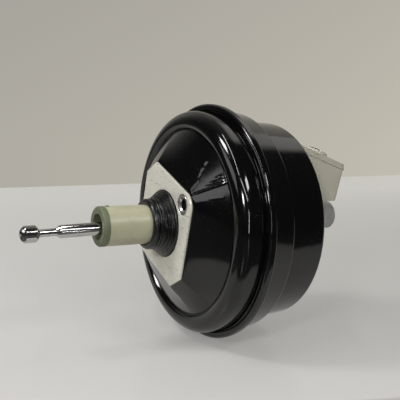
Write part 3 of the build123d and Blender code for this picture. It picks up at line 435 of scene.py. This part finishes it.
def diamond_ring(grow):
    """Points round the bulkhead diamond that answer the circle's fans one to one."""
    corner_r, flat_half, flat_reach = 18.0 + grow, 13.5 + 0.4 * grow, 71.5 + grow
    span = math.hypot(CORNER - flat_half, flat_reach)
    tangent = math.atan2(flat_reach, flat_half - CORNER) - math.acos(corner_r / span)
    ring = []
    for turn in (1, -1):
        top = Vector((flat_half, flat_reach))
        low = Vector((flat_half, -flat_reach))
        start = Vector((CORNER + corner_r * math.cos(tangent), corner_r * math.sin(tangent)))
        end = Vector((start.x, -start.y))
        far = Vector((-flat_half, -flat_reach))
        for part, count in enumerate(SPLITS[:4]):
            for i in range(count):
                share = i / count
                if part == 1:
                    a = tangent * (1 - 2 * share)
                    spot = Vector((CORNER + corner_r * math.cos(a), corner_r * math.sin(a)))
                else:
                    ends = ((top, start), None, (end, low), (low, far))[part]
                    spot = ends[0].lerp(ends[1], share)
                ring.append(tilted(spot.x * turn, spot.y * turn))
    return ring


def circle_ring(radius):
    ring = []
    for part, count in enumerate(SPLITS):
        for i in range(count):
            a = math.radians(STOPS[part] + (STOPS[part + 1] - STOPS[part]) * i / count + LEAN)
            ring.append((-radius * math.cos(a), radius * math.sin(a)))
    return ring


def wrinkle_height(y, z):
    total = 0.0
    for (y0, z0), (y1, z1), width, height in WRINKLES:
        for side in (1, -1):
            a, b = Vector((y0, z0)) * side, Vector((y1, z1)) * side
            run = b - a
            share = (Vector((y, z)) - a).dot(run) / run.length_squared
            if -0.1 < share < 1.1:
                off = (Vector((y, z)) - a - run * share).length
                fade = min(1.0, max(0.0, (share + 0.1) / 0.35), max(0.0, (1.1 - share) / 0.15))
                total += height * fade * math.exp(-(off / width) ** 2)
    return total


def rear_skin_rings():
    """Outer face of the rear shell: a ring of (x, y, z) for each station, hub to rim."""
    land, fan = diamond_ring(LAND_GROW), circle_ring(FAN_R)
    hub = circle_ring(1.0)
    rings = []
    brink = BORE_R + 0.7
    tube = [(16.0, BORE_R), (9.0, BORE_R), (3.1, BORE_R), (2.65, BORE_R + 0.2), (LAND_X, brink)]
    for x, r in tube:
        rings.append([(x, y * r, z * r) for y, z in hub])
    for share in (0.2, 0.4, 0.6, 0.8, 0.93):
        rings.append([
            (LAND_X, y * brink * (1 - share) + a * share, z * brink * (1 - share) + b * share)
            for (y, z), (a, b) in zip(hub, land)
        ])
    for k in range(CONE_STEPS + 1):
        share = k / CONE_STEPS
        ring = []
        for (a, b), (c, d) in zip(land, fan):
            y, z = a + (c - a) * share, b + (d - b) * share
            x = LAND_X + CONE_RISE * share
            edge = min(share, 0.05) / 0.05
            x += 0.35 * (1 - edge)
            ring.append((x - wrinkle_height(y, z) * edge, y, z))
        rings.append(ring)
    profile = [(28.5, 108.8), (28.6, 109.5), (27.4, 110.3)]
    for k in range(1, 19):
        a = math.radians(-28 + 118 * k / 18)
        profile.append((DOME_X - DOME_BEND * math.cos(a), DOME_R + DOME_BEND * math.sin(a)))
    profile += [(43.0, 130.8), (48.0, 130.8), (52.6, 130.8), (54.2, 131.2), (54.9, 132.3)]
    profile += [(55.0, 133.4), (55.0, 135.5), (55.0, 137.0)]
    profile += [(55.4, 137.4), (56.6, 137.4), (57.0, 137.0)]
    for x, r in profile:
        rings.append([(x, y * r, z * r) for y, z in hub])
    return rings


def rear_shell():
    """Skin grown ring by ring from the hub's bore to the rim, then given its sheet thickness."""
    rings = rear_skin_rings()
    bm = bmesh.new()
    bmesh.ops.create_circle(bm, segments=sum(SPLITS), radius=1.0)
    bm.verts.ensure_lookup_table()
    loop, edges = bm.verts[:], bm.edges[:]
    for ring in rings:
        if ring is not rings[0]:
            grown = bmesh.ops.extrude_edge_only(bm, edges=edges)["geom"]
            fresh = {g for g in grown if isinstance(g, bmesh.types.BMVert)}
            partner = {}
            for vert in loop:
                partner[vert] = next(
                    e.other_vert(vert) for e in vert.link_edges if e.other_vert(vert) in fresh
                )
            loop = [partner[vert] for vert in loop]
            edges = [e for e in grown if isinstance(e, bmesh.types.BMEdge)
                     and e.verts[0] in fresh and e.verts[1] in fresh]
        for vert, spot in zip(loop, ring):
            vert.co = spot
    bmesh.ops.recalc_face_normals(bm, faces=bm.faces)
    middle = bm.faces[:]
    outward = sum(f.normal.x * f.calc_area() for f in middle) < 0
    bmesh.ops.solidify(bm, geom=middle, thickness=SHEET if outward else -SHEET)
    return settle("rear_shell_skin", bm, "black_shell", "housing", "rear_shell", sharp=26.0)


rear_shell()

# ------------------------------------------------------------------ front shell and rim
front = lathe([
    (53.1, 132.6, 0.9),
    (53.1, 139.5, 3.1),
    (62.4, 139.5, 3.0),
    (64.0, 134.6, 1.5),
    (92.0, 130.0, 4.0),
    (97.0, 121.4, 3.0),
    (144.5, 118.6, 5.5),
    (144.5, 85.0, 5.8),
    (150.0, 77.0, 4.0),
    (150.0, 17.7),
    (148.2, 17.7),
    (148.2, 76.0, 2.2),
    (142.7, 84.0, 4.0),
    (142.7, 116.8, 3.7),
    (96.0, 119.6, 4.8),
    (91.0, 128.0, 2.2),
    (62.2, 132.8, 1.0),
    (62.2, 137.7, 1.0),
    (54.9, 137.7, 0.4),
    (54.9, 132.6, 0.5),
], steps=320)
settle("front_shell_skin", front, "black_shell", "housing", "front_shell")

# ------------------------------------------------------------------ plate, bushes and boot
refined("push_rod", "ball_ended_rod", "plated_steel", "push_rod", 0.3, finish="rod_steel")
refined("mounting_plate", "bulkhead_plate", "plate_metal", "housing", 0.35)

boot = lathe([
    (2.5, 38.0),
    (-2.3, 38.1, 1.2),
    (-3.4, 34.6, 0.6),
    (-5.4, 36.0, 0.9),
    (-6.4, 32.6, 0.6),
    (-8.4, 33.8, 0.9),
    (-9.6, 29.4, 0.7),
    (-11.6, 30.8, 0.8),
    (-12.7, 28.4, 0.6),
    (-15.9, 30.0, 0.9),
    (-17.2, 26.9, 0.6),
    (-18.4, 26.9, 0.6),
    (-19.7, 29.5, 1.3),
    (-24.0, 28.3, 2.7),
    (-24.0, 23.8, 0.8),
    (-22.8, 22.8, 0.5),
    (-19.5, 22.8, 0.5),
    (-18.0, 25.0, 0.8),
    (-9.8, 27.0, 1.0),
    (-4.0, 31.0, 1.0),
    (2.5, 34.9),
], steps=192)
settle("dust_boot_rubber", boot, "black_rubber", "housing", "dust_boot")

TANK_SLOPE = math.radians(19.3)
FILLER = Vector((214.5, 0.0, 99.0 - 61.0 * math.tan(TANK_SLOPE)))


def on_lid(corners, steps=96, grips=0):
    """Turns a closed outline about the filler neck; heights are measured up from the lid."""
    bm = lathe([(height, r, *round_off) for height, r, *round_off in corners], steps=steps)
    if grips:
        for vert in bm.verts:
            reach = math.hypot(vert.co.y, vert.co.z)
            if reach > grips:
                angle = math.atan2(vert.co.y, vert.co.z)
                dip = 0.45 * (0.5 + 0.5 * math.cos(24 * angle))
                vert.co.y *= 1 - dip / reach
                vert.co.z *= 1 - dip / reach
    up = Matrix.Rotation(-math.pi / 2 + TANK_SLOPE, 4, "Y")
    bmesh.ops.transform(bm, matrix=Matrix.Translation(FILLER) @ up, verts=bm.verts)
    return bm


skirt = on_lid([
    (0.6, 16.4),
    (0.6, 18.35, 0.3),
    (8.15, 18.35, 1.5),
    (8.15, 0.0),
    (6.15, 0.0),
    (6.15, 16.4, 0.3),
], steps=288, grips=18.0)
settle("cap_skirt", skirt, "tank_plastic", "cap", "filler_cap")
knob = on_lid([(8.1, 0.0), (8.1, 8.5), (10.75, 8.5, 1.1), (10.75, 0.0)])
settle("cap_knob", knob, "black_plastic", "cap")

tab = bmesh.new()
bmesh.ops.create_cube(tab, size=1.0)
bmesh.ops.scale(tab, vec=(3.6, 5.0, 1.6), verts=tab.verts)
bmesh.ops.bevel(
    tab,
    geom=tab.edges[:],
    offset=0.35,
    offset_type="OFFSET",
    segments=3,
    profile=0.5,
    affect="EDGES",
    material=-1,
)
bmesh.ops.translate(tab, verts=tab.verts, vec=(-69.6, 0.0, 22.3))
settle("end_ring_tab", tab, "olive_plastic", "power_piston")

BUSH_LEAN = math.radians(31.3)
BUSH_CIRCLE_R = 53.0
for number, turn in enumerate((1, -1)):
    reach = BUSH_CIRCLE_R * turn
    centre = (-reach * math.cos(BUSH_LEAN), reach * math.sin(BUSH_LEAN))
    bush = lathe([
        (0.5, 11.95, 0.4),
        (0.5, 10.9, 0.15),
        (0.9, 10.6, 0.15),
        (0.5, 10.3, 0.15),
        (0.5, 8.3, 0.3),
        (2.6, 6.4, 0.3),
        (2.6, 5.9, 0.2),
        (4.1, 5.0, 0.3),
        (15.0, 5.0, 0.3),
        (15.0, 0.0),
        (18.0, 0.0),
        (18.0, 8.9, 1.5),
        (2.6, 8.9),
        (2.6, 11.95, 0.1),
    ], steps=96, centre=centre)
    names = ("plate_bushes",) if number == 0 else ()
    settle(f"threaded_bush_{number + 1}", bush, "plated_steel", "housing", *names)


# ------------------------------------------------------------------ coils
# Coils: node, joint, rear end, fixed place and how far the rear end moves, in millimetres; here
# each coil only gets its own copy of its mesh. The primary coil's fixed place lies in front of
# it, because the secondary piston moves half as far.
COILS = [
    ("main_return_spring", "power_stroke", 73.6, 145.09, 30.0),
    ("primary_spring", "primary_stroke", 161.11, 244.67, 30.0),
    ("secondary_spring", "secondary_stroke", 207.11, 237.89, 15.0),
    ("check_valve_spring", "check_disc_lift", 152.6, 158.1, 1.5),
    ("rod_return_spring", "valve_travel", -51.8, -26.85, 1.6),
]
for node, joint, rear, fixed, lost in COILS:
    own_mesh(frame["nodes"][node])


# ------------------------------------------------------------------ studio
def plain_sheet(name, corners, color, roughness):
    mesh = bpy.data.meshes.new(name)
    mesh.from_pydata([Vector(c) * MM for c in corners], [], [tuple(range(len(corners)))])
    sheet = bpy.data.objects.new(name, mesh)
    bpy.context.scene.collection.objects.link(sheet)
    finish = Finish(name, color, roughness)
    mesh.materials.append(finish.material)
    return finish


def seen_as(finish, color, share=1.0):
    """Shows a plain colour to the camera and in reflections, mixed over the lit sheet."""
    rays = finish.node("ShaderNodeLightPath")
    seen = finish.both(rays.outputs["Is Camera Ray"], rays.outputs["Is Glossy Ray"], "MAXIMUM")
    seen = finish.both(seen, rays.outputs["Is Transmission Ray"], "MAXIMUM")
    seen = finish.both(seen, share)
    plain = finish.node("ShaderNodeEmission")
    if hasattr(color, "is_linked"):
        finish.link(color, plain.inputs["Color"])
    else:
        plain.inputs["Color"].default_value = (*color, 1.0)
    mix = finish.node("ShaderNodeMixShader")
    finish.link(seen, mix.inputs[0])
    finish.link(finish.shader.outputs["BSDF"], mix.inputs[1])
    finish.link(plain.outputs["Emission"], mix.inputs[2])
    finish.link(mix.outputs["Shader"], finish.tree.nodes["Material Output"].inputs["Surface"])


FLOOR_Z = -139.6
table = plain_sheet(
    "floor",
    [
        (-4000, -3000, FLOOR_Z),
        (5000, -3000, FLOOR_Z),
        (5000, 1967, FLOOR_Z),
        (-4000, 1215, FLOOR_Z),
    ],
    (0.10, 0.10, 0.10),
    0.25,
)
# Painted light pool: the floor's colour is pale only inside this patch round the object and
# painted dark outside it, standing in for where light and shade fall on the floor
beside = table.ramp(table.along("X"), -0.235, -0.210)
behind = table.ramp(table.along("Y"), 0.25, 0.35)
lit = table.both(beside, behind, "MAXIMUM")
for slope, edge in ((0.286, -0.206), (0.466, -0.192)):
    front = table.both(table.both(table.along("X"), slope), table.along("Y"), "ADD")
    lit = table.both(lit, table.ramp(front, edge - 0.025, edge))
table.tint(lit, (0.70, 0.69, 0.665))
# Painted light: the floor's plain colour grows brighter towards the back (+Y), standing in for
# how the light falls on it
painted_far_light_ramp = table.ramp(table.along("Y"), 0.0, 1.3)
painted_far_light_colour = table.blend(painted_far_light_ramp, (0.525, 0.515, 0.495), (1.0, 0.985, 0.94))
seen_as(table, table.blend(lit, (0.05, 0.05, 0.05), painted_far_light_colour), share=0.43)

backdrop = plain_sheet(
    "backdrop",
    [(60, 1554, FLOOR_Z), (5000, 1967, FLOOR_Z), (5000, 1967, 2600), (60, 1554, 2600)],
    (0.335, 0.322, 0.298),
    0.8,
)
# Painted light: the backdrop's colour is made lighter towards +X and towards the floor, standing
# in for how the light falls on it
painted_light_sideways = backdrop.ramp(backdrop.along("X"), 0.2, 2.2, 0.0, 0.5)
painted_light_low = backdrop.ramp(backdrop.along("Z"), 0.0, 1.1, 0.5, 0.0)
backdrop.tint(backdrop.both(painted_light_sideways, painted_light_low, "ADD"), (0.53, 0.50, 0.43))
seen_as(backdrop, backdrop.color)


world = bpy.data.worlds.new("studio_air")
bpy.context.scene.world = world
world.use_nodes = True
air = world.node_tree


def fade(source, low, high):
    """Rises from 0 to 1 between two values of the source."""
    span = air.nodes.new("ShaderNodeMapRange")
    span.inputs["From Min"].default_value = low
    span.inputs["From Max"].default_value = high
    air.links.new(source, span.inputs["Value"])
    return span.outputs["Result"]


def scaled(source, factor, offset=0.0):
    """Source times factor plus offset; the factor may be another socket."""
    made = air.nodes.new("ShaderNodeMath")
    made.operation = "MULTIPLY_ADD"
    made.inputs[2].default_value = offset
    air.links.new(source, made.inputs[0])
    if hasattr(factor, "is_linked"):
        air.links.new(factor, made.inputs[1])
    else:
        made.inputs[1].default_value = factor
    return made.outputs["Value"]


# The air is bright behind and above only, and most of all high up on the +X side
sky = air.nodes.new("ShaderNodeTexCoord")
tilt = air.nodes.new("ShaderNodeVectorMath")
tilt.operation = "DOT_PRODUCT"
tilt.inputs[1].default_value = (0.0, 0.93, 0.37)
sides = air.nodes.new("ShaderNodeSeparateXYZ")
air.links.new(sky.outputs["Generated"], tilt.inputs[0])
air.links.new(sky.outputs["Generated"], sides.inputs["Vector"])
open_air = scaled(fade(tilt.outputs["Value"], 0.33, 0.43), fade(sides.outputs["X"], -0.52, -0.05))
swing = scaled(fade(sides.outputs["X"], 0.25, 0.55), 1.35, -0.35)
high_up = scaled(fade(sides.outputs["Z"], 0.45, 0.85), swing)
level = scaled(open_air, scaled(high_up, 0.85, 0.45), 0.035)
air.links.new(level, air.nodes["Background"].inputs["Strength"])
air.nodes["Background"].inputs["Color"].default_value = (1.0, 0.98, 0.94, 1.0)


def softbox(name, start, end, width, power, aim=(60, 0, 0)):
    """Rectangular lamp that runs from start to end, facing the aim."""
    start, end = Vector(start), Vector(end)
    middle = (start + end) / 2
    light = bpy.data.lights.new(name, "AREA")
    light.shape = "RECTANGLE"
    light.size, light.size_y = width * MM, (end - start).length * MM
    light.energy = power
    holder = bpy.data.objects.new(name, light)
    bpy.context.scene.collection.objects.link(holder)
    back = (middle - Vector(aim)).normalized()
    along = (end - start).normalized()
    across = along.cross(back).normalized()
    turn = Matrix((across, back.cross(across), back)).transposed().to_4x4()
    holder.matrix_world = Matrix.Translation(middle * MM) @ turn
    return holder


softbox("ceiling_bar", (-220, 150, 1250), (-640, -680, 950), 60, 3)
softbox("corner_bar", (-590, -800, 900), (-90, -1240, 590), 55, 2)
softbox("front_bar", (-120, -1310, 400), (-280, -1340, -60), 55, 1.5)
softbox("left_panel", (-1050, 620, 560), (-1350, -220, 620), 420, 2.4)
softbox("key_light", (-930, 160, 1000), (-670, 160, 1040), 300, 7.5)
softbox("window_light", (-990, -930, 600), (-870, -1090, 600), 200, 7)
softbox("side_light", (110, -760, 612), (370, -660, 612), 170, 2.2, aim=(-100, 0, 0))

# ------------------------------------------------------------------ camera
CAMERA_RIGHT = Vector((0.86764, -0.4959, 0.03578))
CAMERA_BACK = Vector((-0.49618, -0.85904, 0.12591))
camera_data = bpy.data.cameras.new("studio_camera")
camera_data.sensor_width = 36.0
camera_data.lens = 61.47
camera = bpy.data.objects.new("studio_camera", camera_data)
bpy.context.scene.collection.objects.link(camera)
back = CAMERA_BACK.normalized()
right = (CAMERA_RIGHT - back * CAMERA_RIGHT.dot(back)).normalized()
turn = Matrix((right, back.cross(right), back)).transposed().to_4x4()
camera.matrix_world = Matrix.Translation(Vector((-355.5, -699.89, 128.17)) * MM) @ turn
bpy.context.scene.camera = camera
bpy.context.scene.view_settings.view_transform = "Standard"
